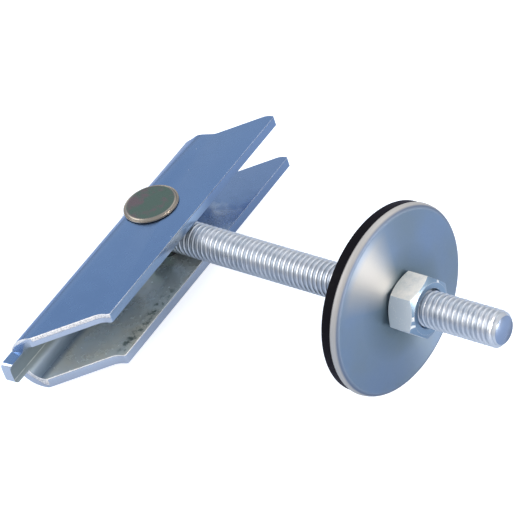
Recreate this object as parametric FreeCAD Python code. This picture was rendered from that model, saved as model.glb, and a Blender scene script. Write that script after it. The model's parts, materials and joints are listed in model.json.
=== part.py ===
# Toggle anchor for a hollow ceiling, in millimetres.
# A folded steel channel swings on a riveted cross pin, and a threaded rod runs through the pin.
# A dished washer with a rubber seal slides on the rod, and a hexagon nut drives them along it.
# Everything is drawn about the pin's centre, with the rod along X, the pin along Z and the
# channel along Y. The whole anchor is then laid down in the pose in which it comes to rest.
import FreeCAD, Part
import math
import os

V = FreeCAD.Vector

# Threaded rod, M8 over its plated crests
rod_diameter = 7.8
rod_length = 100.0
rod_tail = 8.9  # from the pin's axis to the inner end, out through the back of the channel
rod_end_chamfer = 0.95

# Channel, folded from one strip of sheet
sheet = 2.4
channel_height = 14.1
bend_radius = 6.2  # outside of the fold
pin_to_back = 7.9
pin_to_front = 11.1

# Long arm, from the pin's axis to its front corner, and then its end cut: a short step beside
# the front edge, a slant, and the rest round the fold
long_arm = 32.8
long_step_lean = 0.5
long_step_depth = 2.2
long_slant_length = 10.9
long_web_lead = 1.2
long_front_round = 0.5
long_step_round = 4.0
long_corner_round = 1.0

# Short arm, from the pin's axis to its tip, and then its end cut: a slant back to the heel, a
# shoulder and the corner of the web
short_arm = 33.4
short_slant_length = 8.7
short_heel_depth = 10.3  # from the front edge
short_shoulder_drop = 1.2
short_shoulder_width = 4.1
short_web_drop = 1.4
short_web_width = 1.0
short_tip_round = 3.0
short_front_round = 0.2
short_heel_round = 2.5
short_web_round = 0.8
end_cut_angle = 45.0

# Tongue on the web's long end
tongue_length = 3.9
tongue_height = 5.2
tongue_offset = 0.3  # of its middle from the web's
tongue_corner_round = 1.0

# Slot in the web, through which the rod's inner end swings
slot_clearance = 0.5
slot_corner_round = 1.5

# Swing of the channel on its pin, in degrees from square to the rod
rest_swing = 4.8
stop_swing = 8.0

# Cross pin, turned with a barrel that the rod is screwed through, and riveted at both ends
journal_diameter = 8.0
journal_clearance = 0.08
barrel_diameter = 10.0
barrel_length = 4.0
barrel_shoulder_length = 6.4
head_diameter = 12.4
head_height = 0.65
head_edge_width = 0.7
head_edge_height = 0.35
head_play = 0.1

# Rubber seal, dished washer and nut
pin_to_seal = 61.0  # to the seal's bearing face
seal_setback = 0.25  # of its edge from the washer's
seal_rim = 2.5
seal_edge_chamfer = 0.2
seal_bore_clearance = 0.5
washer_diameter = 41.4
washer_thickness = 1.75
washer_rise = 1.1
washer_land_diameter = 15.0
washer_edge_flat = 0.3
washer_edge_taper = 0.2
washer_edge_round = 1.2
washer_bore_clearance = 0.6
washer_lean = 3.0  # degrees off square to the rod
washer_lean_side = 60.0  # degrees from the channel's direction to the side against the nut
washer_drop = 0.45  # off the rod's axis, away from that side
nut_across_flats = 12.0
nut_height = 6.5
nut_chamfer_diameter = 11.0
nut_chamfer_angle = 30.0
nut_thread_clearance = 0.05
nut_countersink = 0.4
nut_angle = 22.4  # from the pin's direction to the nut's first corner

# Worked out from the sizes above
rod_radius = rod_diameter / 2
rod_tip = rod_length - rod_tail
half_height = channel_height / 2
inner_height = half_height - sheet
web_inside = pin_to_back - sheet
long_step = long_arm + long_step_lean
long_corner = long_step + long_slant_length
long_web = long_corner + long_web_lead
seal_front = pin_to_seal + seal_rim
washer_radius = washer_diameter / 2
land_radius = washer_land_diameter / 2
rim_front = seal_front + washer_thickness
land_front = rim_front + washer_rise
land_back = land_front - washer_thickness

centre = V(0, 0, 0)
along_rod = V(1, 0, 0)
along_channel = V(0, 1, 0)
along_pin = V(0, 0, 1)


# A closed wire through corners, each a point with the radius of its rounding, or 0
def rounded_wire(corners):
    starts = []
    ends = []
    arcs = []
    for i in range(len(corners)):
        point, radius = corners[i]
        before = (corners[i - 1][0] - point).normalize()
        after = (corners[(i + 1) % len(corners)][0] - point).normalize()
        if radius == 0:
            starts.append(point)
            ends.append(point)
            arcs.append(None)
            continue
        half_angle = before.getAngle(after) / 2
        bisector = (before + after).normalize()
        start = point + before * (radius / math.tan(half_angle))
        end = point + after * (radius / math.tan(half_angle))
        middle = point + bisector * (radius / math.sin(half_angle) - radius)
        starts.append(start)
        ends.append(end)
        arcs.append(Part.Arc(start, middle, end).toShape())
    path = []
    for i in range(len(corners)):
        if arcs[i]:
            path.append(arcs[i])
        path.append(Part.makeLine(ends[i], starts[(i + 1) % len(corners)]))
    return Part.Wire(path)


def prism(corners, direction):
    return Part.Face(rounded_wire(corners)).extrude(direction)


# A solid turned about an axis through the centre, from (place on the axis, radius, rounding)
def turned(profile, axis, outwards):
    corners = []
    for place, radius, rounding in profile:
        corners.append((axis * place + outwards * radius, rounding))
    return Part.Face(rounded_wire(corners)).revolve(centre, axis, 360)


def make_rod():
    end_radius = rod_radius - rod_end_chamfer
    profile = [
        (-rod_tail, 0, 0),
        (-rod_tail, end_radius, 0),
        (rod_end_chamfer - rod_tail, rod_radius, 0),
        (rod_tip - rod_end_chamfer, rod_radius, 0),
        (rod_tip, end_radius, 0),
        (rod_tip, 0, 0),
    ]
    return turned(profile, along_rod, along_pin)


def make_pin():
    head_seat = half_height + head_play
    head_top = head_seat + head_height
    half = [
        (barrel_length / 2, barrel_diameter / 2, 0),
        (barrel_shoulder_length / 2, journal_diameter / 2, 0),
        (head_seat, journal_diameter / 2, 0),
        (head_seat, head_diameter / 2, 0),
        (head_top - head_edge_height, head_diameter / 2, 0),
        (head_top, head_diameter / 2 - head_edge_width, 0),
        (head_top, 0, 0),
    ]
    profile = half + [(-place, radius, 0) for place, radius, _ in reversed(half)]
    pin = turned(profile, along_pin, along_rod)
    bore_length = 2 * head_diameter
    bore = Part.makeCylinder(rod_radius, bore_length, along_rod * (-bore_length / 2), along_rod)
    return pin.cut(bore)


# The strip folded to a channel, longer than it needs to be, and open towards the nut
def make_folded_strip():
    start = -long_web - 2 * tongue_length
    inner_bend = bend_radius - sheet
    section = [
        (V(pin_to_front, start, half_height), 0),
        (V(-pin_to_back, start, half_height), bend_radius),
        (V(-pin_to_back, start, -half_height), bend_radius),
        (V(pin_to_front, start, -half_height), 0),
        (V(pin_to_front, start, -inner_height), 0),
        (V(-web_inside, start, -inner_height), inner_bend),
        (V(-web_inside, start, inner_height), inner_bend),
        (V(pin_to_front, start, inner_height), 0),
    ]
    return prism(section, along_channel * (short_arm + tongue_length - start))


# The channel's outline seen along the pin: the long arm is cut back towards its front edge and
# the short arm towards its web
def make_end_cuts():
    slope = math.tan(math.radians(end_cut_angle))
    behind = -pin_to_back - sheet
    under = -channel_height
    step_x = pin_to_front - long_step_depth
    corner_x = step_x - long_slant_length * slope
    heel_x = pin_to_front - short_heel_depth
    heel_y = short_arm - short_slant_length
    tip_x = heel_x + short_slant_length * slope
    shoulder_x = heel_x - short_shoulder_width
    shoulder_y = heel_y - short_shoulder_drop
    web_x = shoulder_x - short_web_width
    web_y = shoulder_y - short_web_drop
    outline = [
        (V(pin_to_front, -long_arm, under), long_front_round),
        (V(step_x, -long_step, under), long_step_round),
        (V(corner_x, -long_corner, under), long_corner_round),
        (V(-pin_to_back, -long_web, under), 0),
        (V(behind, -long_web, under), 0),
        (V(behind, web_y, under), 0),
        (V(web_x, web_y, under), short_web_round),
        (V(shoulder_x, shoulder_y, under), short_web_round),
        (V(heel_x, heel_y, under), short_heel_round),
        (V(tip_x, short_arm, under), short_tip_round),
        (V(pin_to_front, short_arm, under), short_front_round),
    ]
    return prism(outline, along_pin * (2 * channel_height))


def make_tongue_outline():
    top = tongue_offset + tongue_height / 2
    bottom = tongue_offset - tongue_height / 2
    root = sheet - long_web
    end = -long_web - tongue_length
    behind = -pin_to_back - sheet
    outline = [
        (V(behind, root, top), 0),
        (V(behind, root, bottom), 0),
        (V(behind, end, bottom), tongue_corner_round),
        (V(behind, end, top), tongue_corner_round),
    ]
    return prism(outline, along_rod * -behind)


# The slot is as long as the rod's inner end needs from the stop to the folded channel
def make_tail_slot():
    half = rod_radius + slot_clearance
    stop = math.radians(stop_swing)
    stop_reach = rod_tail * math.sin(stop) + rod_radius * math.cos(stop) + slot_clearance
    tail_corner = math.hypot(rod_tail, rod_radius)
    fold_reach = math.sqrt(tail_corner ** 2 - web_inside ** 2) + slot_clearance
    behind = -pin_to_back - sheet
    outline = [
        (V(behind, -fold_reach, -half), slot_corner_round),
        (V(behind, stop_reach, -half), slot_corner_round),
        (V(behind, stop_reach, half), slot_corner_round),
        (V(behind, -fold_reach, half), slot_corner_round),
    ]
    return prism(outline, along_rod * -behind)


def make_channel():
    strip = make_folded_strip()
    channel = strip.common(make_end_cuts()).fuse(strip.common(make_tongue_outline()))
    hole_radius = journal_diameter / 2 + journal_clearance
    hole = Part.makeCylinder(hole_radius, 2 * channel_height, along_pin * -channel_height, along_pin)
    channel = channel.cut([hole, make_tail_slot()])
    channel = channel.removeSplitter()
    channel.rotate(centre, along_pin, rest_swing)
    return channel


def make_washer():
    bore = rod_radius + washer_bore_clearance
    profile = [
        (land_back, bore, 0),
        (land_back, land_radius, 0),
        (seal_front, washer_radius, 0),
        (seal_front + washer_edge_flat, washer_radius, 0),
        (rim_front, washer_radius - washer_edge_taper, washer_edge_round),
        (land_front, land_radius, 0),
        (land_front, bore, 0),
    ]
    return turned(profile, along_rod, along_pin)


# Flat towards the ceiling, and dished to the washer's own cone on the other side
def make_seal():
    bore = rod_radius + seal_bore_clearance
    radius = washer_radius - seal_setback
    cone = (land_back - seal_front) / (washer_radius - land_radius)
    edge_front = seal_front + seal_setback * cone
    profile = [
        (pin_to_seal, bore, 0),
        (pin_to_seal, radius - seal_edge_chamfer, 0),
        (pin_to_seal + seal_edge_chamfer, radius, 0),
        (edge_front, radius, 0),
        (land_back, land_radius, 0),
        (land_back, bore, 0),
    ]
    return turned(profile, along_rod, along_pin)


# The washer and its seal hang loosely on the rod, a little askew: one side of the washer's land
# touches the edge of the nut's bearing face, and the other side leans away from it
def make_washer_seat():
    turn = math.radians(washer_lean_side)
    side = along_channel * math.cos(turn) + along_pin * math.sin(turn)
    lean = FreeCAD.Rotation(side.cross(along_rod), washer_lean)
    touching = along_rod * land_front + side * (nut_chamfer_diameter / 2)
    return FreeCAD.Placement(touching - lean.multVec(touching + side * washer_drop), lean)


# A turned blank gives the chamfers, the hexagon gives the flats
def make_nut():
    corner_radius = nut_across_flats / 2 / math.cos(math.pi / 6)
    points = []
    for i in range(6):
        angle = math.radians(nut_angle + 60 * i)
        around = V(0, math.sin(angle), math.cos(angle))
        points.append((along_rod * land_front + around * corner_radius, 0))
    hexagon = prism(points, along_rod * nut_height)
    chamfer = nut_chamfer_diameter / 2
    blank_radius = corner_radius + nut_thread_clearance
    slant = (blank_radius - chamfer) * math.tan(math.radians(nut_chamfer_angle))
    bore = rod_radius + nut_thread_clearance
    outer_face = land_front + nut_height
    profile = [
        (land_front, bore + nut_countersink, 0),
        (land_front, chamfer, 0),
        (land_front + slant, blank_radius, 0),
        (outer_face - slant, blank_radius, 0),
        (outer_face, chamfer, 0),
        (outer_face, bore + nut_countersink, 0),
        (outer_face - nut_countersink, bore, 0),
        (land_front + nut_countersink, bore, 0),
    ]
    return turned(profile, along_rod, along_pin).common(hexagon)


# The anchor rests on the rim of the washer or seal, on a head of the pin and on the channel's long
# arm, which is the heavier one. So the way down starts with a lean to that arm, and the plane
# through the three lowest points then settles it in a few rounds.
def find_way_down(supports):
    clouds = [shape.tessellate(0.01)[0] for shape in supports]
    down = along_pin * -10 - along_channel
    for _ in range(12):
        a, b, c = [max(cloud, key=down.dot) for cloud in clouds]
        normal = (b - a).cross(c - a).normalize()
        down = normal * math.copysign(1, normal.dot(down))
    return down


parts = {
    "toggle_channel": make_channel(),
    "cross_pin": make_pin(),
    "threaded_rod": make_rod(),
    "seal_ring": make_seal(),
    "plate_washer": make_washer(),
    "hex_nut": make_nut(),
}

parts["seal_ring"].Placement = make_washer_seat()
parts["plate_washer"].Placement = make_washer_seat()

# Laid down, with the rod's free end towards +X and the origin on the ground under the middle
rims = Part.makeCompound([parts["plate_washer"], parts["seal_ring"]])
down = find_way_down([rims, parts["cross_pin"], parts["toggle_channel"]])
laying = FreeCAD.Rotation(down, V(0, 0, -1))
rod_way = laying.multVec(along_rod)
laying = FreeCAD.Rotation(V(0, 0, 1), -math.degrees(math.atan2(rod_way.y, rod_way.x))) * laying
placement = FreeCAD.Placement(centre, laying)
cloud = []
for shape in parts.values():
    for point in shape.tessellate(0.01)[0]:
        cloud.append(placement.multVec(point))
middle = V(
    (max(point.x for point in cloud) + min(point.x for point in cloud)) / 2,
    (max(point.y for point in cloud) + min(point.y for point in cloud)) / 2,
    min(point.z for point in cloud),
)
placement.Base = middle * -1

os.makedirs("parts", exist_ok=True)
for name, shape in parts.items():
    shape.Placement = placement * shape.Placement
    shape.exportStep("parts/" + name + ".step")
    print(name, "volume", round(shape.Volume, 1), "valid", shape.isValid())
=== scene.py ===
import json
import math
from functools import partial
import bmesh
import bpy
from mathutils import Matrix, Vector


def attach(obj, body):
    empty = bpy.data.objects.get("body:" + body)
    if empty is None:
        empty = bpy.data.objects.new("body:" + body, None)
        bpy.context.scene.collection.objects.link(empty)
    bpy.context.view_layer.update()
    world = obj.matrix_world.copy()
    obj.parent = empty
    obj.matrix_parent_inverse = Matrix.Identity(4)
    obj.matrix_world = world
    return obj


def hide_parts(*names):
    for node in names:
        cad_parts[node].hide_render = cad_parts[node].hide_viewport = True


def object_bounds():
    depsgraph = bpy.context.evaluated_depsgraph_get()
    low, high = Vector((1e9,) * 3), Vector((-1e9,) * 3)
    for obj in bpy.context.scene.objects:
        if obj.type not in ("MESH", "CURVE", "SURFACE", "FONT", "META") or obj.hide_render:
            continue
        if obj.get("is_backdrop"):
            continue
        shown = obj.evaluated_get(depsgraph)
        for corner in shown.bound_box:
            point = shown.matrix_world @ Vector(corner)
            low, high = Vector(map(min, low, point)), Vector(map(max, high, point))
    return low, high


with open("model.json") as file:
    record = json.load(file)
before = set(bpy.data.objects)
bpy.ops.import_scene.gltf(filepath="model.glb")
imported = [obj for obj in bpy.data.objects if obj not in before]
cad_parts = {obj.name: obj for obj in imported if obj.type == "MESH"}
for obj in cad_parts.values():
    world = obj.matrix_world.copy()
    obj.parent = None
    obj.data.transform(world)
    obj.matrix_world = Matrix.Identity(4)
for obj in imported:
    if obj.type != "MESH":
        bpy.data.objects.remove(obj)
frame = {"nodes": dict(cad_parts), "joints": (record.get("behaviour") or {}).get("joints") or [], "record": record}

mm = 0.001

joints = {joint["name"]: joint for joint in frame["joints"]}
pivotPlace = Vector(joints["toggle_pivot"]["pos_m"])
pinWay = Vector(joints["toggle_pivot"]["axis"]).normalized()
rodWay = Vector(joints["washer_travel"]["axis"]).normalized()


# A frame from its origin and the ways of its X and Z
def frameFrom(origin, xWay, zWay):
    turned = Matrix((xWay, zWay.cross(xWay), zWay)).transposed()
    return Matrix.Translation(origin) @ turned.to_4x4()


# The rod's own frame: origin at the pin's centre, X along the rod, Z along the pin
rodFrame = frameFrom(pivotPlace, rodWay, pinWay)
intoRodFrame = rodFrame.inverted()

# The channel's frame at rest: X out of its open side, Y along it towards the short arm
restSwing = math.radians(4.8)
channelFrame = rodFrame @ Matrix.Rotation(restSwing, 4, "Z")

# The leaning washer's own frame, from its seal's bearing face: origin on its axis, X along it
washerPlace = {
    "pinToSeal": 61.0,
    "mountOffAxis": 12.0,
}


def findWasherFrame():
    mounts = frame["record"]["mounts"]
    mount = next(mount for mount in mounts if mount["name"] == "seal_face")
    along = -Vector(mount["axis"]).normalized()
    upright = (pinWay - along * pinWay.dot(along)).normalized()
    offset = along * washerPlace["pinToSeal"] + upright * washerPlace["mountOffAxis"]
    return frameFrom(Vector(mount["pos_m"]) - offset * mm, along, upright)


washerFrame = findWasherFrame()


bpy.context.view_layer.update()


# Node helpers

# The limits between which most of a noise's values lie
noiseMiddle = (0.3, 0.7)


class NodeWork:
    # A node tree with short ways to add, feed and join its nodes
    def __init__(self, tree):
        self.tree = tree

    def add(self, kind, **settings):
        node = self.tree.nodes.new(kind)
        for key, value in settings.items():
            setattr(node, key, value)
        return node

    def link(self, source, target):
        self.tree.links.new(source, target)

    # Sets a number or a colour on a socket, and links anything else to it
    def feed(self, socket, value):
        if isinstance(value, (int, float)):
            socket.default_value = value
        elif isinstance(value, tuple):
            socket.default_value = (*value, 1.0)
        else:
            self.link(value, socket)

    def split(self, vector):
        parts = self.add("ShaderNodeSeparateXYZ")
        self.link(vector, parts.inputs["Vector"])
        return parts.outputs["X"], parts.outputs["Y"], parts.outputs["Z"]

    def combine(self, operation, first, second=0.0):
        node = self.add("ShaderNodeMath", operation=operation)
        self.feed(node.inputs[0], first)
        self.feed(node.inputs[1], second)
        return node.outputs["Value"]

    def product(self, result, *factors):
        for factor in factors:
            result = self.combine("MULTIPLY", result, factor)
        return result

    def spread(self, value, fromLow, fromHigh, toLow=0.0, toHigh=1.0, curve="LINEAR"):
        node = self.add("ShaderNodeMapRange", interpolation_type=curve)
        limits = {"From Min": fromLow, "From Max": fromHigh, "To Min": toLow, "To Max": toHigh}
        for name, limit in limits.items():
            self.feed(node.inputs[name], limit)
        self.link(value, node.inputs["Value"])
        return node.outputs["Result"]

    # Turns a share from 0 to 1 into a value between two others
    def between(self, share, low, high):
        return self.spread(share, 0.0, 1.0, low, high)

    # Inputs 6 and 7 and output 2 of this node are its sockets for colours
    def mix(self, factor, first, second):
        node = self.add("ShaderNodeMix", data_type="RGBA")
        self.link(factor, node.inputs["Factor"])
        self.feed(node.inputs[6], first)
        self.feed(node.inputs[7], second)
        return node.outputs[2]


class Shading(NodeWork):
    # A material's node tree, with its Principled shader ready
    def __init__(self, name):
        self.material = bpy.data.materials.new(name)
        self.material.use_nodes = True
        super().__init__(self.material.node_tree)
        self.shader = self.tree.nodes["Principled BSDF"]

    # Object coordinates turned into a frame, in millimetres
    def coordinatesIn(self, place, stretch=(1, 1, 1)):
        coordinates = self.add("ShaderNodeTexCoord")
        mapping = self.add("ShaderNodeMapping", vector_type="TEXTURE")
        mapping.inputs["Location"].default_value = place.translation
        mapping.inputs["Rotation"].default_value = place.to_euler()
        mapping.inputs["Scale"].default_value = [mm * share for share in stretch]
        self.link(coordinates.outputs["Object"], mapping.inputs["Vector"])
        return mapping.outputs["Vector"]

    # The part of a vector across X, and its length
    def acrossX(self, vector):
        across = self.add("ShaderNodeVectorMath", operation="MULTIPLY")
        across.inputs[1].default_value = (0, 1, 1)
        self.link(vector, across.inputs[0])
        length = self.add("ShaderNodeVectorMath", operation="LENGTH")
        self.link(across.outputs["Vector"], length.inputs[0])
        return across.outputs["Vector"], length.outputs["Value"]

    def attribute(self, name):
        return self.add("ShaderNodeAttribute", attribute_name=name).outputs["Fac"]

    # A noise from its scale, detail and roughness
    def noise(self, vector, form):
        node = self.add("ShaderNodeTexNoise")
        for name, value in zip(("Scale", "Detail", "Roughness"), form):
            node.inputs[name].default_value = value
        self.link(vector, node.inputs["Vector"])
        return node.outputs["Fac"]

    # 1 between the two middle limits, and fading to 0 at the outer two
    def band(self, value, limits):
        rise = self.spread(value, limits[0], limits[1])
        fall = self.spread(value, limits[2], limits[3], 1.0, 0.0)
        return self.combine("MULTIPLY", rise, fall)

    def bump(self, height, strength, distance, normal=None):
        node = self.add("ShaderNodeBump")
        node.inputs["Strength"].default_value = strength
        node.inputs["Distance"].default_value = distance
        self.link(height, node.inputs["Height"])
        if normal:
            self.link(normal, node.inputs["Normal"])
        return node.outputs["Normal"]

    def metallicFrom(self, value):
        self.link(value, self.shader.inputs["Metallic"])

    def finishWith(self, colour, roughness, normal):
        self.link(colour, self.shader.inputs["Base Color"])
        self.link(roughness, self.shader.inputs["Roughness"])
        self.link(normal, self.shader.inputs["Normal"])


# Colours as they show, 0 to 255, turned by the sRGB curve into what the shader wants
def colour(red, green, blue):
    def linear(level):
        share = level / 255
        return share / 12.92 if share <= 0.04045 else ((share + 0.055) / 1.055) ** 2.4
    return (linear(red), linear(green), linear(blue))


# Materials. Places and sizes are in millimetres, a noise is its scale, detail and roughness,
# and a bump is its strength and its height in metres. Shares are the two values between which
# something fades in, and, where there are four, what they are turned into.

sheetFinish = {
    "outside": colour(111, 142, 186),
    "outsideShade": colour(103, 133, 177),
    "inside": colour(206, 220, 228),
    "insideShade": colour(212, 214, 206),
    "insideShares": (0.4, 0.6),
    "insideBlue": colour(110, 137, 178),
    "insideMetal": 0.5,
    "blueFrom": 5.5,
    "blueTo": 16.0,
    "blueWander": 4.0,
    "stain": colour(84, 102, 104),
    "stainNoise": (0.6, 6.0, 0.7),
    "stainShares": (0.48, 0.58, 0.0, 0.9),
    "stainDepth": (7.8, 8.8, 10.2, 10.8),
    "stainAlong": (-34.0, -30.0, -14.0, -9.0),
    "bendShadeFrom": -1.5,
    "bendShadeTo": -4.5,
    "paintedBendShade": colour(104, 119, 127),
    "bendRoughness": 0.48,
    "paintedBendReflection": colour(120, 138, 158),
    "bendDepth": (-5.4, -4.8, -3.0, -1.9),
    "fold": colour(158, 168, 172),
    "foldShares": (0.40, 0.55, 0.2, 0.8),
    "foldHeight": (-1.34, -1.24, -1.12, -1.02),
    "speck": colour(206, 214, 224),
    "speckSize": 0.06,
    "speckScale": 0.55,
    "speckShares": (0.45, 0.7),
    "speckBump": (0.3, 0.00004),
    "cloudNoise": (0.10, 3.0, 0.5),
    "cloudBump": (0.18, 0.0006),
    "patchNoise": (0.35, 4.0, 0.6),
    "roughness": (0.20, 0.32),
}


def makeSheetFinish():
    look = sheetFinish
    finish = Shading("zincSheet")
    place = finish.coordinatesIn(channelFrame)
    depth, along, height = finish.split(place)
    clouds = finish.noise(place, look["cloudNoise"])
    patches = finish.noise(place, look["patchNoise"])
    inner = finish.attribute("insideFace")
    outside = finish.mix(clouds, look["outside"], look["outsideShade"])
    shade = finish.spread(clouds, *look["insideShares"])
    inside = finish.mix(shade, look["inside"], look["insideShade"])

    # Stains along the long arm's open side
    spots = finish.spread(finish.noise(place, look["stainNoise"]), *look["stainShares"])
    stains = finish.product(spots, finish.band(depth, look["stainDepth"]),
                            finish.band(along, look["stainAlong"]))
    inside = finish.mix(stains, inside, look["stain"])

    # Painted shade in the bends, dim, with a painted bluish reflection band, and a broken bright line where the
    # lower one meets the web
    bend = finish.combine("MULTIPLY", finish.spread(depth, look["bendShadeFrom"], look["bendShadeTo"]), inner)
    inside = finish.mix(bend, inside, look["paintedBendShade"])
    inside = finish.mix(finish.band(depth, look["bendDepth"]), inside, look["paintedBendReflection"])
    fold = finish.product(finish.band(height, look["foldHeight"]), bend,
                          finish.spread(patches, *look["foldShares"]))
    inside = finish.mix(fold, inside, look["fold"])

    # Painted shade and reflection: grey inside the long arm, under the upper plate, and a reflecting blue inside
    # the short one
    wander = finish.between(patches, -look["blueWander"], look["blueWander"])
    wandering = finish.combine("ADD", along, wander)
    paintedShadeShare = finish.spread(wandering, look["blueFrom"], look["blueTo"], 1.0, 0.0)
    paintedShadeShare = finish.combine("MULTIPLY", paintedShadeShare, inner)
    base = finish.mix(paintedShadeShare, finish.mix(inner, outside, look["insideBlue"]), inside)
    finish.metallicFrom(finish.between(paintedShadeShare, 1.0, look["insideMetal"]))

    dots = finish.add("ShaderNodeTexVoronoi")
    dots.inputs["Scale"].default_value = look["speckScale"]
    finish.link(place, dots.inputs["Vector"])
    size = finish.spread(patches, *look["speckShares"], 0.0, look["speckSize"])
    specks = finish.combine("LESS_THAN", dots.outputs["Distance"], size)
    roughness = finish.spread(patches, *noiseMiddle, *look["roughness"])
    dull = finish.combine("MULTIPLY", bend, look["bendRoughness"])
    normal = finish.bump(clouds, *look["cloudBump"])
    normal = finish.bump(specks, *look["speckBump"], normal)
    finish.finishWith(finish.mix(specks, base, look["speck"]),
                      finish.combine("MAXIMUM", roughness, dull), normal)
    return finish.material


edgeFinish = {
    "front": colour(166, 188, 214),
    "shortFront": colour(121, 144, 178),
    "shortFrom": 0.0,
    "shortTo": 7.0,
    "smooth": colour(194, 203, 218),
    "torn": colour(246, 246, 247),
    "tornShade": colour(192, 194, 200),
    "tornShares": (0.42, 0.56),
    "tornMetal": 0.4,
    "tornBlend": (-0.03, 0.05),
    "tornBump": (1.0, 0.00016),
    "paintedRodReflection": colour(206, 216, 226),
    "rodReflectionAlong": (-11.5, -9.0, -5.0, -3.5),
    "burr": colour(255, 255, 255),
    "burrFrom": 0.86,
    "burrTo": 0.91,
    "burrShares": (0.34, 0.52, 0.3, 1.0),
    "burrUnlessSmooth": (1.0, 1.5, 1.0, 0.0),
    "burrWhereBlue": 0.3,
    "burrOnShortArm": 0.4,
    "waver": 0.03,
    "grainNoise": (3.2, 5.0, 0.75),
    "patchNoise": (1.3, 3.0, 0.6),
    "roughness": (0.22, 0.5),
}


def makeEdgeFinish():
    # A cut edge across the sheet: smooth where the blade cut, torn after it, and a bright burr
    look = edgeFinish
    finish = Shading("shearedEdge")
    place = finish.coordinatesIn(rodFrame)
    through = finish.attribute("throughSheet")
    smoothShare = finish.attribute("smoothShare")
    along = finish.split(place)[1]
    shortArm = finish.spread(along, look["shortFrom"], look["shortTo"])
    longArm = finish.combine("SUBTRACT", 1.0, shortArm)
    pale = finish.combine("MULTIPLY", finish.attribute("paleEdge"), longArm)
    grain = finish.noise(place, look["grainNoise"])
    patches = finish.noise(place, look["patchNoise"])
    waver = finish.spread(grain, *noiseMiddle, -look["waver"], look["waver"])
    depth = finish.combine("ADD", through, waver)
    torn = finish.spread(finish.combine("SUBTRACT", depth, smoothShare), *look["tornBlend"])

    # The burr is broken, missing on the tongue, and weaker on the blue edges and the short arm
    burr = finish.product(finish.spread(depth, look["burrFrom"], look["burrTo"]),
                          finish.spread(patches, *look["burrShares"]),
                          finish.spread(smoothShare, *look["burrUnlessSmooth"]),
                          finish.between(pale, look["burrWhereBlue"], 1.0),
                          finish.between(shortArm, 1.0, look["burrOnShortArm"]))

    # Painted reflection and light: the front edges, facing out of the open side, are bluish, darker on the short
    # arm, and the other edges pale as if lit
    front = finish.mix(shortArm, look["front"], look["shortFront"])
    smooth = finish.mix(pale, front, look["smooth"])
    # A painted reflection of the rod, lightening the front edges beside it
    rodReflectionShare = finish.combine("SUBTRACT", finish.band(along, look["rodReflectionAlong"]), pale)
    smooth = finish.mix(finish.combine("MAXIMUM", rodReflectionShare, 0.0), smooth, look["paintedRodReflection"])
    grainShare = finish.spread(grain, *look["tornShares"])
    tornColour = finish.mix(grainShare, look["tornShade"], look["torn"])
    paleTorn = finish.combine("MULTIPLY", torn, pale)
    base = finish.mix(paleTorn, smooth, tornColour)
    bright = finish.combine("MAXIMUM", paleTorn, burr)
    finish.metallicFrom(finish.between(bright, 1.0, look["tornMetal"]))
    normal = finish.bump(finish.combine("MULTIPLY", grain, torn), *look["tornBump"])
    finish.finishWith(finish.mix(burr, base, look["burr"]),
                      finish.between(torn, *look["roughness"]), normal)
    return finish.material


pinFinish = {
    "olive": colour(90, 110, 104),
    "violet": colour(112, 102, 108),
    "zoneNoise": (0.20, 4.0, 0.62),
    "zoneShares": (0.44, 0.56),
    "gold": colour(154, 147, 138),
    "rimFrom": 5.3,
    "rimTo": 5.5,
    "grainNoise": (3.0, 3.0, 0.5),
    "grainBump": (0.12, 0.0001),
    "roughness": (0.24, 0.42),
}


def makePinFinish():
    look = pinFinish
    finish = Shading("yellowPassivated")
    finish.shader.inputs["Metallic"].default_value = 1.0
    place = finish.coordinatesIn(rodFrame)
    zones = finish.spread(finish.noise(place, look["zoneNoise"]), *look["zoneShares"])
    grain = finish.noise(place, look["grainNoise"])
    aroundPin = finish.coordinatesIn(rodFrame @ Matrix.Rotation(math.pi / 2, 4, "Y"))
    fromAxis = finish.acrossX(aroundPin)[1]
    rim = finish.spread(fromAxis, look["rimFrom"], look["rimTo"])
    face = finish.mix(zones, look["olive"], look["violet"])
    finish.finishWith(finish.mix(rim, face, look["gold"]),
                      finish.spread(grain, *noiseMiddle, *look["roughness"]),
                      finish.bump(grain, *look["grainBump"]))
    return finish.material


brightFinish = {
    "bright": colour(208, 212, 219),
    "dull": colour(194, 201, 210),
    "dullShares": (0.35, 0.65),
    "paintedEndReflection": colour(139, 156, 184),
    "endFrom": 91.01,
    "cloudNoise": (0.35, 3.0, 0.5),
    "wearNoise": (1.5, 3.0, 0.6),
    "wearStretch": (1.0, 3.0, 3.0),
    "wearBump": (0.012, 0.00003),
    "roughness": (0.27, 0.34),
}


def makeBrightFinish():
    look = brightFinish
    finish = Shading("brightZinc")
    finish.shader.inputs["Metallic"].default_value = 1.0
    place = finish.coordinatesIn(rodFrame)
    clouds = finish.noise(place, look["cloudNoise"])
    wear = finish.noise(finish.coordinatesIn(rodFrame, look["wearStretch"]), look["wearNoise"])
    base = finish.mix(finish.spread(clouds, *look["dullShares"]), look["bright"], look["dull"])
    # A painted bluish reflection on the end face
    atEnd = finish.combine("GREATER_THAN", finish.split(place)[0], look["endFrom"])
    finish.finishWith(finish.mix(atEnd, base, look["paintedEndReflection"]),
                      finish.spread(wear, *noiseMiddle, *look["roughness"]),
                      finish.bump(wear, *look["wearBump"]))
    return finish.material


nutFinish = {
    "pale": colour(246, 243, 236),
    "grey": colour(228, 229, 225),
    "greyShares": (0.4, 0.6),
    "lower": colour(212, 221, 227),
    "outer": colour(130, 154, 178),
    "pit": colour(248, 248, 244),
    "pitNoise": (2.8, 4.0, 0.7),
    "pitShares": (0.60, 0.68),
    "pitBump": (0.3, 0.00012),
    "wearAndHighlight": colour(250, 250, 246),
    "wearAndHighlightShares": (0.35, 0.55, 0.4, 1.0),
    "cloudNoise": (0.5, 4.0, 0.6),
    "sideMetal": 0.15,
    "roughness": (0.32, 0.50),
}


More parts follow.
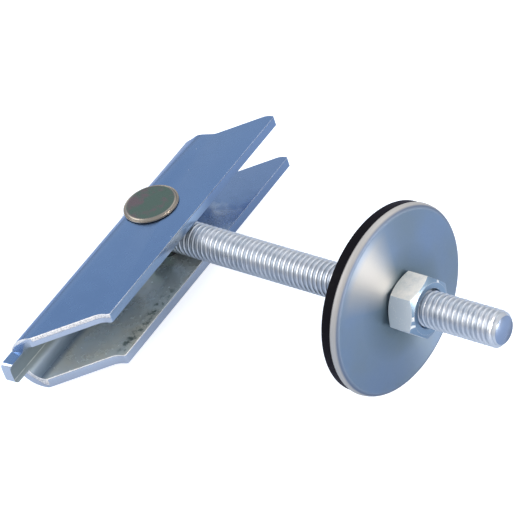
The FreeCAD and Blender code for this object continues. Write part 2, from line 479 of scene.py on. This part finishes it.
def makeNutFinish():
    look = nutFinish
    finish = Shading("satinZincNut")
    place = finish.coordinatesIn(rodFrame)
    clouds = finish.noise(place, look["cloudNoise"])
    pits = finish.noise(place, look["pitNoise"])
    outer = finish.attribute("outerFace")
    # Painted light and shade on the sides: pale, and darker and bluer on the lower faces; the outer face is a
    # painted bluish reflection
    base = finish.mix(finish.spread(clouds, *look["greyShares"]), look["pale"], look["grey"])
    base = finish.mix(finish.attribute("paintedShadeSide"), base, look["lower"])
    base = finish.mix(finish.spread(pits, *look["pitShares"]), base, look["pit"])
    base = finish.mix(outer, base, look["outer"])
    wearAndHighlight = finish.combine("MULTIPLY", finish.attribute("wornEdge"),
                          finish.spread(clouds, *look["wearAndHighlightShares"]))
    finish.metallicFrom(finish.between(outer, look["sideMetal"], 1.0))
    finish.finishWith(finish.mix(wearAndHighlight, base, look["wearAndHighlight"]),
                      finish.spread(pits, *noiseMiddle, *look["roughness"]),
                      finish.bump(pits, *look["pitBump"]))
    return finish.material


washerFinish = {
    "face": colour(129, 150, 177),
    "shade": colour(131, 149, 166),
    "shadeShares": (0.35, 0.65),
    "centre": colour(110, 126, 132),
    "nutShadeRadius": (13.0, 7.0),
    "nutShadeShare": 0.8,
    "wearAndHighlight": colour(160, 165, 170),
    "highlightTowards": (0.0, -0.48, 0.877),
    "wearAndHighlightShares": (0.84, 0.99),
    "highlightRadius": (5.5, 8.5, 17.5, 20.0),
    "paintedEdgeShade": colour(112, 126, 148),
    "edgeFrom": 19.4,
    "edgeTo": 20.1,
    "edgeRoughness": (0.58, 0.64),
    "rim": colour(190, 188, 186),
    "rimFrom": 20.2,
    "rimTo": 20.5,
    "cloudNoise": (0.08, 3.0, 0.5),
    "grainNoise": (2.2, 4.0, 0.65),
    "grainBump": (0.10, 0.00008),
    "roughness": (0.40, 0.47),
    "brushing": 0.80,
}


def makeWasherFinish(name, brushing, roughness):
    # Turned on a lathe, so its shine spreads away from the centre
    look = washerFinish
    finish = Shading(name)
    finish.shader.inputs["Metallic"].default_value = 1.0
    finish.shader.inputs["Anisotropic"].default_value = brushing
    place = finish.coordinatesIn(washerFrame)
    clouds = finish.noise(place, look["cloudNoise"])
    grain = finish.noise(place, look["grainNoise"])
    outwards, radius = finish.acrossX(place)
    base = finish.mix(finish.spread(clouds, *look["shadeShares"]), look["face"], look["shade"])
    # Painted shade and the nut's painted reflection, darkening the centre round the nut
    centre = finish.spread(radius, *look["nutShadeRadius"])
    centre = finish.combine("MULTIPLY", centre, look["nutShadeShare"])
    base = finish.mix(centre, base, look["centre"])

    # A painted highlight: a pale wedge towards one side
    unit = finish.add("ShaderNodeVectorMath", operation="NORMALIZE")
    finish.link(outwards, unit.inputs[0])
    towards = finish.add("ShaderNodeVectorMath", operation="DOT_PRODUCT")
    towards.inputs[1].default_value = look["highlightTowards"]
    finish.link(unit.outputs["Vector"], towards.inputs[0])
    wearAndHighlight = finish.combine("MULTIPLY", finish.spread(towards.outputs["Value"], *look["wearAndHighlightShares"]),
                          finish.band(radius, look["highlightRadius"]))
    base = finish.mix(wearAndHighlight, base, look["wearAndHighlight"])

    # A painted shade ring inside the rim, and a painted highlight on the rim itself
    edge = finish.spread(radius, look["edgeFrom"], look["edgeTo"])
    base = finish.mix(edge, base, look["paintedEdgeShade"])
    rim = finish.spread(radius, look["rimFrom"], look["rimTo"])
    base = finish.mix(rim, base, look["rim"])

    # The outward way, turned back to the object's frame and moving along with the washer
    turned = finish.add("ShaderNodeMapping", vector_type="VECTOR")
    turned.inputs["Rotation"].default_value = washerFrame.to_euler()
    finish.link(outwards, turned.inputs["Vector"])
    riding = finish.add("ShaderNodeVectorTransform", vector_type="VECTOR",
                        convert_from="OBJECT", convert_to="WORLD")
    finish.link(turned.outputs["Vector"], riding.inputs["Vector"])
    finish.link(riding.outputs["Vector"], finish.shader.inputs["Tangent"])
    finish.finishWith(base, finish.spread(grain, *noiseMiddle, *roughness),
                      finish.bump(grain, *look["grainBump"]))
    return finish.material


rubberFinish = {
    "black": colour(10, 9, 13),
    "dusty": colour(18, 17, 24),
    "dustShares": (0.45, 0.8),
    "dustNoise": (1.1, 4.0, 0.6),
    "grainNoise": (8.0, 3.0, 0.5),
    "grainBump": (0.3, 0.00008),
    "sheen": colour(120, 112, 150),
    "sheenShare": 0.12,
    "shine": 0.06,
    "roughness": (0.5, 0.75),
}


def makeRubberFinish():
    look = rubberFinish
    finish = Shading("blackRubber")
    finish.shader.inputs["Specular IOR Level"].default_value = look["shine"]
    finish.shader.inputs["Sheen Weight"].default_value = look["sheenShare"]
    finish.shader.inputs["Sheen Tint"].default_value = (*look["sheen"], 1)
    place = finish.coordinatesIn(rodFrame)
    dust = finish.noise(place, look["dustNoise"])
    grain = finish.noise(place, look["grainNoise"])
    base = finish.mix(finish.spread(dust, *look["dustShares"]), look["black"], look["dusty"])
    finish.finishWith(base, finish.spread(dust, *noiseMiddle, *look["roughness"]),
                      finish.bump(grain, *look["grainBump"]))
    return finish.material


sheetMaterial = makeSheetFinish()
edgeMaterial = makeEdgeFinish()
pinMaterial = makePinFinish()
rodMaterial = makeBrightFinish()
nutMaterial = makeNutFinish()
washerMaterial = makeWasherFinish("satinZincWasher", washerFinish["brushing"],
                                  washerFinish["roughness"])
rimMaterial = makeWasherFinish("dullZincRim", 0.0, washerFinish["edgeRoughness"])
rubberMaterial = makeRubberFinish()
print("materials made")


# Mesh helpers

# How near to each other points are merged, how little a face may turn to count as flat, and
# the steps of a rounded corner
mergeWithin = 0.002 * mm
mergeTurnedWithin = 0.0005 * mm
flatWithin = math.radians(1.0)
cornerSteps = 8


def addObject(name, data):
    added = bpy.data.objects.new(name, data)
    bpy.context.scene.collection.objects.link(added)
    return added


def addPiece(name, mesh, body, node):
    piece = addObject(name, mesh)
    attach(piece, body)
    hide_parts(node)
    print(name, "made,", len(mesh.polygons), "faces")


def meshFrom(work, name):
    mesh = bpy.data.meshes.new(name)
    work.to_mesh(mesh)
    work.free()
    return mesh


# An object's mesh with its modifiers worked in
def appliedMesh(holder, name):
    graph = bpy.context.evaluated_depsgraph_get()
    mesh = bpy.data.meshes.new_from_object(holder.evaluated_get(graph))
    mesh.name = name
    return mesh


# Smooth shading, with edges kept crisp where the faces turn by more than the angle
def shadeByAngle(mesh, degrees):
    work = bmesh.new()
    work.from_mesh(mesh)
    for face in work.faces:
        face.smooth = True
    for edge in work.edges:
        edge.smooth = edge.calc_face_angle(math.pi) < math.radians(degrees)
    work.to_mesh(mesh)
    work.free()


# A merged copy of a node's solid with its edges rounded off, in the rod's frame
def softenedCopy(node, edgeRound, sharpFrom):
    work = bmesh.new()
    work.from_mesh(frame["nodes"][node].data)
    bmesh.ops.transform(work, matrix=intoRodFrame, verts=work.verts)
    bmesh.ops.remove_doubles(work, verts=work.verts, dist=mergeWithin)
    bmesh.ops.dissolve_limit(work, angle_limit=flatWithin, verts=work.verts, edges=work.edges)
    sharpAngle = math.radians(sharpFrom)
    sharp = [edge for edge in work.edges if edge.calc_face_angle(0) > sharpAngle]
    bmesh.ops.bevel(work, geom=sharp, offset=edgeRound * mm, segments=3, profile=0.5,
                    affect="EDGES", clamp_overlap=True)
    work.normal_update()
    return work


# A closed shape turned about the X or Z axis from (place on the axis, radius) in millimetres
def turnedMesh(name, profile, axis, segments):
    work = bmesh.new()
    rings = []
    for place, radius in profile:
        ring = []
        for step in range(segments):
            angle = 2 * math.pi * step / segments
            across = (radius * math.cos(angle), radius * math.sin(angle))
            spot = (place, *across) if axis == "X" else (*across, place)
            ring.append(work.verts.new(Vector(spot) * mm))
        rings.append(ring)
    for first, second in zip(rings, rings[1:] + rings[:1]):
        for step in range(segments):
            following = (step + 1) % segments
            work.faces.new((first[step], first[following], second[following], second[step]))
    bmesh.ops.remove_doubles(work, verts=work.verts, dist=mergeTurnedWithin)
    bmesh.ops.recalc_face_normals(work, faces=work.faces)
    return meshFrom(work, name)


# The points of a rounded corner between two neighbours in a profile
def roundedCorner(before, corner, after, rounding):
    corner, before, after = Vector(corner), Vector(before), Vector(after)
    inwards = (before - corner).normalized()
    outwards = (after - corner).normalized()
    halfAngle = inwards.angle(outwards) / 2
    reach = rounding / math.tan(halfAngle)
    centre = corner + (inwards + outwards).normalized() * (rounding / math.sin(halfAngle))
    start = corner + inwards * reach - centre
    turn = math.pi - 2 * halfAngle
    side = 1 if start.x * outwards.y - start.y * outwards.x > 0 else -1
    points = []
    for step in range(cornerSteps + 1):
        angle = side * turn * step / cornerSteps
        spun = (start.x * math.cos(angle) - start.y * math.sin(angle),
                start.x * math.sin(angle) + start.y * math.cos(angle))
        points.append((centre.x + spun[0], centre.y + spun[1]))
    return points


# A profile from (place, radius, rounding) corners, the last joined to the first
def roundedProfile(corners):
    points = []
    for index, (place, radius, rounding) in enumerate(corners):
        before = corners[index - 1][:2]
        after = corners[(index + 1) % len(corners)][:2]
        if rounding:
            points += roundedCorner(before, (place, radius), after, rounding)
        else:
            points.append((place, radius))
    return points


# Folded channel. The facing values say how squarely a face must look one way to count.

channelLook = {
    "sheet": 2.4,
    "height": 14.1,
    "foldRadius": 6.2,
    "pinToBack": 7.9,
    "edgeRound": 0.16,
    "sharpFrom": 28,
    "crispFrom": 32,
    "sheetFacing": 0.8,
    "frontFacing": 0.9,
    "topFacing": 0.93,
    "sideBlend": 1.5,
    "tornFrom": -1.5,
    "smoothShare": {"upper plate": 0.55, "lower bend": 0.30, "elsewhere": 0.88, "tongue": 2.0},
    "tongueLength": 3.9,
    "tonguePale": 0.9,
}


def clamped(share):
    return min(max(share, 0), 1)


def makeChannel():
    look = channelLook
    work = softenedCopy("toggle_channel", look["edgeRound"], look["sharpFrom"])
    through = work.verts.layers.float.new("throughSheet")
    inside = work.faces.layers.float.new("insideFace")
    smoothShare = work.faces.layers.float.new("smoothShare")
    pale = work.faces.layers.float.new("paleEdge")
    depthWay = Vector((math.cos(restSwing), math.sin(restSwing), 0))
    lengthWay = Vector((-math.sin(restSwing), math.cos(restSwing), 0))
    longEnd = min(vert.co.dot(lengthWay) for vert in work.verts)
    tongueFrom = longEnd + look["tongueLength"] * mm
    halfHeight = look["height"] / 2
    foldRadius = look["foldRadius"]
    foldDepth = foldRadius - look["pinToBack"]
    foldHeight = halfHeight - foldRadius

    # How far a point lies from the sheet's inner face, and which way is out of the sheet
    def sheetPlace(point):
        depth = point.dot(depthWay) / mm
        height = point.z / mm
        side = math.copysign(1, height)
        if depth > foldDepth:
            return abs(height) - halfHeight + look["sheet"], Vector((0, 0, side))
        across = Vector((depth - foldDepth, max(abs(height) - foldHeight, 0)))
        level = depthWay * (across.x / across.length)
        outwards = level + Vector((0, 0, side * across.y / across.length))
        return across.length - foldRadius + look["sheet"], outwards

    # The burr is on a cut edge's upper side: outside on the upper plate, inside on the lower
    for vert in work.verts:
        share = clamped(sheetPlace(vert.co)[0] / look["sheet"])
        upper = clamped(vert.co.z / mm / look["sideBlend"] + 0.5)
        vert[through] = share * upper + (1 - share) * (1 - upper)

    for face in work.faces:
        middle = face.calc_center_median()
        facing = face.normal.dot(sheetPlace(middle)[1])
        face.material_index = 0 if abs(facing) > look["sheetFacing"] else 1
        face[inside] = 1.0 if facing < -look["sheetFacing"] else 0.0
        front = face.normal.dot(depthWay) > look["frontFacing"]
        bend = middle.dot(depthWay) / mm < look["tornFrom"]
        tornZone = "lower bend" if bend else "upper plate"
        torn = bend != (middle.z > 0) and not front
        face[smoothShare] = look["smoothShare"][tornZone if torn else "elsewhere"]
        # Front edge faces of the upper plate take the painted bluish reflection, the rest the pale look of lit
        # edges
        face[pale] = 0.0 if front and middle.z > 0 else 1.0
        if middle.dot(lengthWay) < tongueFrom:
            face[smoothShare] = look["smoothShare"]["tongue"]
            face[pale] = look["tonguePale"]
            if face.normal.z > look["topFacing"]:
                face.material_index = 0
                face[inside] = 0.0
    bmesh.ops.transform(work, matrix=rodFrame, verts=work.verts)
    mesh = meshFrom(work, "channel_skin")
    shadeByAngle(mesh, look["crispFrom"])
    mesh.materials.append(sheetMaterial)
    mesh.materials.append(edgeMaterial)
    addPiece("folded_channel", mesh, "channel", "toggle_channel")


# Thread, a surface wound round the rod by geometry nodes

threadLook = {
    "pitch": 1.25,
    "majorRadius": 3.9,
    "depth": 0.66,
    "start": -8.9,
    "end": 91.09,
    "chamfer": 0.95,
    "around": 96,
    "stepsPerPitch": 12,
    "crestShare": 0.26,
    "rootShare": 0.94,
    "crispFrom": 70,
}


def makeThreadTree():
    tree = bpy.data.node_groups.new("threadSurface", "GeometryNodeTree")
    inputs = {
        "Float": ("Pitch", "Major Radius", "Depth", "Start", "End", "Chamfer", "Crest Share",
                  "Root Share"),
        "Int": ("Around", "Steps Per Pitch"),
        "Material": ("Finish",),
    }
    for kind, names in inputs.items():
        for name in names:
            tree.interface.new_socket(name, in_out="INPUT", socket_type="NodeSocket" + kind)
    tree.interface.new_socket("Geometry", in_out="OUTPUT", socket_type="NodeSocketGeometry")
    work = NodeWork(tree)
    given = work.add("NodeGroupInput").outputs
    result = work.add("NodeGroupOutput")
    add, subtract = partial(work.combine, "ADD"), partial(work.combine, "SUBTRACT")
    multiply, divide = partial(work.combine, "MULTIPLY"), partial(work.combine, "DIVIDE")
    smaller = partial(work.combine, "MINIMUM")

    # A grid one by one in size, so that a place on it is a share along and a share around. It has
    # one pitch more than the length, so that the winding reaches past both ends, and a row more
    # at each end for the caps.
    turns = add(divide(subtract(given["End"], given["Start"]), given["Pitch"]), 1.0)
    rows = add(work.combine("ROUND", multiply(turns, given["Steps Per Pitch"])), 2.0)
    step = divide(given["Pitch"], given["Steps Per Pitch"])
    grid = work.add("GeometryNodeMeshGrid")
    work.feed(grid.inputs["Size X"], 1.0)
    work.feed(grid.inputs["Size Y"], 1.0)
    work.feed(grid.inputs["Vertices X"], add(rows, 1.0))
    work.feed(grid.inputs["Vertices Y"], add(given["Around"], 1.0))
    place = work.split(work.add("GeometryNodeInputPosition").outputs[0])
    along, around = add(place[0], 0.5), add(place[1], 0.5)

    # Where each point comes along the rod, held between its ends
    first = subtract(subtract(given["Start"], given["Pitch"]), step)
    wound = add(multiply(multiply(along, rows), step), first)
    wound = add(wound, multiply(around, given["Pitch"]))
    held = smaller(work.combine("MAXIMUM", wound, given["Start"]), given["End"])
    fromStart, fromEnd = subtract(held, given["Start"]), subtract(given["End"], held)

    # The radius: the thread's flanks, the chamfers at both ends, and 0 at the first and last row
    phase = work.combine("FRACT", subtract(divide(fromStart, given["Pitch"]), around))
    fromCrest = multiply(work.combine("ABSOLUTE", subtract(phase, 0.5)), 2.0)
    flank = work.spread(fromCrest, given["Crest Share"], given["Root Share"],
                        curve="SMOOTHSTEP")
    winding = subtract(given["Major Radius"], multiply(flank, given["Depth"]))
    cone = add(subtract(given["Major Radius"], given["Chamfer"]), smaller(fromStart, fromEnd))
    tiny = 1e-5
    wall = multiply(work.combine("GREATER_THAN", along, tiny),
                    work.combine("LESS_THAN", along, 1.0 - tiny))
    radius = multiply(smaller(winding, cone), wall)
    angle = multiply(around, 2 * math.pi)
    spot = work.add("ShaderNodeCombineXYZ")
    work.feed(spot.inputs["X"], held)
    work.feed(spot.inputs["Y"], multiply(radius, work.combine("COSINE", angle)))
    work.feed(spot.inputs["Z"], multiply(radius, work.combine("SINE", angle)))

    geometry = grid.outputs["Mesh"]
    steps = {
        "GeometryNodeSetPosition": {"Position": spot.outputs[0]},
        "GeometryNodeMergeByDistance": {"Distance": mergeWithin},
        "GeometryNodeRealizeInstances": {},
        "GeometryNodeSetMaterial": {"Material": given["Finish"]},
    }
    for kind, values in steps.items():
        node = work.add(kind)
        work.link(geometry, node.inputs["Geometry"])
        for name, value in values.items():
            work.feed(node.inputs[name], value)
        geometry = node.outputs["Geometry"]
    work.link(geometry, result.inputs["Geometry"])
    return tree


def makeRod():
    tree = makeThreadTree()
    carrier = addObject("rod_carrier", bpy.data.meshes.new("rod_carrier"))
    modifier = carrier.modifiers.new("thread", "NODES")
    modifier.node_group = tree
    values = {
        "Pitch": threadLook["pitch"] * mm,
        "Major Radius": threadLook["majorRadius"] * mm,
        "Depth": threadLook["depth"] * mm,
        "Start": threadLook["start"] * mm,
        "End": threadLook["end"] * mm,
        "Chamfer": threadLook["chamfer"] * mm,
        "Crest Share": threadLook["crestShare"],
        "Root Share": threadLook["rootShare"],
        "Around": threadLook["around"],
        "Steps Per Pitch": threadLook["stepsPerPitch"],
        "Finish": rodMaterial,
    }
    for socket in tree.interface.items_tree:
        if socket.in_out == "INPUT":
            modifier[socket.identifier] = values[socket.name]
    mesh = appliedMesh(carrier, "studding")
    carrier.modifiers.remove(modifier)
    bpy.data.objects.remove(carrier)
    work = bmesh.new()
    work.from_mesh(mesh)
    bmesh.ops.recalc_face_normals(work, faces=work.faces)
    bmesh.ops.transform(work, matrix=rodFrame, verts=work.verts)
    print("rod open edges:", sum(1 for edge in work.edges if not edge.is_manifold))
    work.to_mesh(mesh)
    work.free()
    shadeByAngle(mesh, threadLook["crispFrom"])
    addPiece("studding", mesh, "rod", "threaded_rod")


# Riveted pin

pinLook = {
    "barrelDiameter": 10.0,
    "barrelLength": 4.0,
    "shoulderLength": 6.4,
    "journalDiameter": 8.0,
    "headSeat": 7.15,
    "headDiameter": 12.4,
    "headHeight": 0.65,
    "flange": 0.20,
    "flangeRounds": (0.06, 0.05),
    "groove": 0.12,
    "grooveSlope": 0.06,
    "grooveRounds": (0.03, 0.1),
    "edgeWidth": 0.7,
    "edgeHeight": 0.35,
    "edgeRound": 0.25,
    "faceDish": 0.05,
    "faceRadius": 5.3,
    "faceSlope": 0.2,
    "faceRound": 0.1,
    "around": 160,
    "boreAround": 64,
    "crispFrom": 35,
}


def makePin():
    look = pinLook
    head, journal = look["headDiameter"] / 2, look["journalDiameter"] / 2
    seat = look["headSeat"]
    flange = seat + look["flange"]
    top = seat + look["headHeight"]
    face = top - look["faceDish"]
    half = [
        (look["barrelLength"] / 2, look["barrelDiameter"] / 2, 0),
        (look["shoulderLength"] / 2, journal, 0),
        (seat, journal, 0),
        (seat, head, look["flangeRounds"][0]),
        (flange, head, look["flangeRounds"][1]),
        (flange + look["grooveSlope"], head - look["groove"], look["grooveRounds"][0]),
        (top - look["edgeHeight"], head - look["groove"] / 2, look["grooveRounds"][1]),
        (top, head - look["edgeWidth"], look["edgeRound"]),
        (top, look["faceRadius"], look["faceRound"]),
        (face, look["faceRadius"] - look["faceSlope"], look["faceRound"]),
        (face, 0, 0),
    ]
    corners = half + [(-place, radius, rounding) for place, radius, rounding in reversed(half)]
    turned = turnedMesh("pin_blank", roundedProfile(corners), "Z", look["around"])
    blank = addObject("pin_blank", turned)

    # The rod's hole through the barrel
    boreEnd, boreRadius = 2 * head, threadLook["majorRadius"]
    boreProfile = [(-boreEnd, 0), (-boreEnd, boreRadius), (boreEnd, boreRadius), (boreEnd, 0)]
    drill = turnedMesh("pin_bore", boreProfile, "X", look["boreAround"])
    bore = addObject("pin_bore", drill)
    cut = blank.modifiers.new("bore", "BOOLEAN")
    cut.operation = "DIFFERENCE"
    cut.object = bore
    mesh = appliedMesh(blank, "riveted_pin")
    for leftover in (blank, bore):
        bpy.data.objects.remove(leftover)
    mesh.transform(rodFrame)
    shadeByAngle(mesh, look["crispFrom"])
    mesh.materials.clear()
    mesh.materials.append(pinMaterial)
    addPiece("riveted_pin", mesh, "rod", "cross_pin")


# Dished washer, seal and nut

washerLook = {
    "radius": 20.7,
    "thickness": 1.75,
    "rise": 1.1,
    "landRadius": 7.5,
    "edgeFlat": 0.3,
    "edgeTaper": 0.2,
    "edgeRound": 1.2,
    "backEdgeRound": 0.15,
    "frontBend": 6.0,
    "backBend": 3.0,
    "bore": 4.5,
    "boreRound": 0.25,
    "boreBackRound": 0.1,
    "around": 200,
    "crispFrom": 35,
}

sealLook = {
    "thickness": 2.5,
    "setback": 0.25,
    "edgeRound": 0.6,
    "bore": 4.4,
    "boreRound": 0.1,
    "around": 200,
    "crispFrom": 35,
}


def makeWasher():
    look = washerLook
    back = washerPlace["pinToSeal"] + sealLook["thickness"]
    front = back + look["thickness"]
    land = front + look["rise"]
    corners = [
        (land - look["thickness"], look["bore"], look["boreBackRound"]),
        (land - look["thickness"], look["landRadius"], look["backBend"]),
        (back, look["radius"], look["backEdgeRound"]),
        (back + look["edgeFlat"], look["radius"], 0),
        (front, look["radius"] - look["edgeTaper"], look["edgeRound"]),
        (land, look["landRadius"], look["frontBend"]),
        (land, look["bore"], look["boreRound"]),
    ]
    mesh = turnedMesh("dished_washer", roundedProfile(corners), "X", look["around"])
    for face in mesh.polygons:
        fromAxis = math.hypot(face.center.y, face.center.z)
        face.material_index = 1 if fromAxis > washerFinish["edgeFrom"] * mm else 0
    mesh.transform(washerFrame)
    shadeByAngle(mesh, look["crispFrom"])
    mesh.materials.append(washerMaterial)
    mesh.materials.append(rimMaterial)
    addPiece("dished_washer", mesh, "washer", "plate_washer")


def makeSeal():
    look = sealLook
    radius = washerLook["radius"] - look["setback"]
    front = washerPlace["pinToSeal"]
    back = front + look["thickness"]
    hollow = back + washerLook["rise"]
    corners = [
        (front, look["bore"], look["boreRound"]),
        (front, radius, look["edgeRound"]),
        (back, radius, 0),
        (hollow, washerLook["landRadius"], 0),
        (hollow, look["bore"], 0),
    ]
    mesh = turnedMesh("rubber_seal", roundedProfile(corners), "X", look["around"])
    mesh.transform(washerFrame)
    shadeByAngle(mesh, look["crispFrom"])
    mesh.materials.append(rubberMaterial)
    addPiece("rubber_seal", mesh, "washer", "seal_ring")


nutLook = {
    "edgeRound": 0.16,
    "sharpFrom": 20,
    "crispFrom": 35,
    "outerFacing": 0.4,
    "upperFacing": 0.6,
    "wornWidth": 0.15,
}


def makeNut():
    look = nutLook
    work = softenedCopy("hex_nut", look["edgeRound"], look["sharpFrom"])
    outer = work.faces.layers.float.new("outerFace")
    lower = work.faces.layers.float.new("paintedShadeSide")
    wearAndHighlight = work.faces.layers.float.new("wornEdge")
    # Marks the outer face for its painted reflection and the lower side faces for their painted shade
    for face in work.faces:
        width = min(edge.calc_length() for edge in face.edges)
        face[outer] = 1.0 if face.normal.x > look["outerFacing"] else 0.0
        face[lower] = 1.0 if face.normal.z < look["upperFacing"] else 0.0
        face[wearAndHighlight] = 1.0 if width < look["wornWidth"] * mm else 0.0
    bmesh.ops.transform(work, matrix=rodFrame, verts=work.verts)
    mesh = meshFrom(work, "hexagon_nut")
    shadeByAngle(mesh, look["crispFrom"])
    mesh.materials.append(nutMaterial)
    addPiece("hexagon_nut", mesh, "nut", "hex_nut")


makeChannel()
makeRod()
makePin()
makeWasher()
makeSeal()
makeNut()


# Floor, light and camera

floorLook = {
    "reach": 12.0,
    "tint": colour(196, 209, 228),
    "roughness": 0.9,
    "shine": 0.1,
    "toCamera": 0.8,
    "toReflections": 0.12,
}


def makeFloor():
    look = floorLook
    mesh = bpy.data.meshes.new("floor")
    reach = look["reach"]
    corners = [(-reach, -reach, 0), (reach, -reach, 0), (reach, reach, 0), (-reach, reach, 0)]
    mesh.from_pydata(corners, [], [(0, 1, 2, 3)])
    floor = addObject("floor", mesh)
    finish = Shading("paleFloor")
    finish.shader.inputs["Base Color"].default_value = (*look["tint"], 1)
    finish.shader.inputs["Roughness"].default_value = look["roughness"]
    finish.shader.inputs["Specular IOR Level"].default_value = look["shine"]
    finish.shader.inputs["Emission Color"].default_value = (1, 1, 1, 1)
    seen = finish.add("ShaderNodeLightPath").outputs
    toCamera = finish.combine("MULTIPLY", seen["Is Camera Ray"], look["toCamera"])
    bounced = finish.combine("MAXIMUM", seen["Is Glossy Ray"], seen["Is Transmission Ray"])
    bounced = finish.combine("MULTIPLY", bounced, look["toReflections"])
    finish.link(finish.combine("MAXIMUM", toCamera, bounced),
                finish.shader.inputs["Emission Strength"])
    mesh.materials.append(finish.material)
    floor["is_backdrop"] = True


# Lamps stand round the object, by the side that they come from and their height in degrees
lamps = {
    "key": {"azimuth": -57, "elevation": 29, "distance": 1.2, "size": 1.0, "power": 6.5,
            "tint": (1.0, 0.97, 0.93)},
    "side": {"azimuth": 97, "elevation": 18, "distance": 0.7, "size": 0.30, "power": 4.0,
             "tint": (1.0, 0.86, 0.72)},
    "back": {"azimuth": 190, "elevation": 55, "distance": 0.7, "size": 0.6, "power": 0.9,
             "tint": (1.0, 1.0, 1.0)},
}

# The surroundings are darker near the horizon, which gives the thread its contrast, and a
# little darker overhead. Both rises go by the upward part of a direction, from 0 to 1.
worldLook = {
    "ambient": 0.9,
    "horizon": (1.0, 1.0, 1.0),
    "zenith": (0.72, 0.75, 0.80),
    "tintRise": (0.05, 0.9),
    "lowLevel": 0.5,
    "lowRise": (0.02, 0.28),
}


# The way to a place round the object, in degrees from the front and from level
def wayTo(azimuth, elevation):
    azimuth, elevation = math.radians(azimuth), math.radians(elevation)
    level = math.cos(elevation)
    return Vector((math.sin(azimuth) * level, -math.cos(azimuth) * level, math.sin(elevation)))


def placeLamps():
    low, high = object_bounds()
    middle = (low + high) / 2
    for name, lamp in lamps.items():
        away = wayTo(lamp["azimuth"], lamp["elevation"])
        light = bpy.data.lights.new(name, "AREA")
        light.shape = "DISK"
        light.size = lamp["size"]
        light.energy = lamp["power"]
        light.color = lamp["tint"]
        holder = addObject(name, light)
        holder.location = middle + away * lamp["distance"]
        holder.rotation_euler = away.to_track_quat("Z", "Y").to_euler()


def makeWorld():
    look = worldLook
    world = bpy.data.worlds.new("studio")
    world.use_nodes = True
    bpy.context.scene.world = world
    work = NodeWork(world.node_tree)
    seen = work.add("ShaderNodeLightPath").outputs
    height = work.split(work.add("ShaderNodeTexCoord").outputs["Generated"])[2]
    shown = work.combine("MAXIMUM", seen["Is Camera Ray"], seen["Is Glossy Ray"])
    strength = work.between(shown, look["ambient"], 1.0)
    low = work.spread(height, *look["lowRise"], look["lowLevel"], curve="SMOOTHSTEP")
    tint = work.mix(work.spread(height, *look["tintRise"]), look["horizon"], look["zenith"])

    # The camera always sees the full level
    level = work.combine("MAXIMUM", work.combine("MULTIPLY", low, strength),
                         seen["Is Camera Ray"])
    background = world.node_tree.nodes["Background"]
    work.link(level, background.inputs["Strength"])
    work.link(tint, background.inputs["Color"])


# The camera, fitted to the photo in the rod's frame: degrees and millimetres, its clip in metres
cameraFit = {
    "azimuth": 49.295,
    "elevation": 37.882,
    "roll": -19.168,
    "distance": 663.2,
    "target": (29.23, -1.65, 2.11),
    "focalPixels": 3160.3,
    "imagePixels": 515,
    "sensor": 36.0,
    "clip": (0.01, 30.0),
}


def placeCamera():
    look = cameraFit
    roll = math.radians(look["roll"])
    back = wayTo(look["azimuth"], look["elevation"])
    level = (-back).cross(Vector((0, 0, 1))).normalized()
    upright = level.cross(-back)
    right = level * math.cos(roll) + upright * math.sin(roll)
    up = upright * math.cos(roll) - level * math.sin(roll)
    pose = Matrix((right, up, back)).transposed().to_4x4()
    pose.translation = (Vector(look["target"]) + back * look["distance"]) * mm
    lens = bpy.data.cameras.new("camera")
    lens.sensor_width = look["sensor"]
    lens.lens = look["focalPixels"] / look["imagePixels"] * look["sensor"]
    lens.clip_start, lens.clip_end = look["clip"]
    camera = addObject("camera", lens)
    camera.matrix_world = rodFrame @ pose
    bpy.context.scene.camera = camera


makeFloor()
placeLamps()
makeWorld()
placeCamera()
bpy.context.scene.view_settings.view_transform = "Standard"
print("floor, lamps and camera placed")
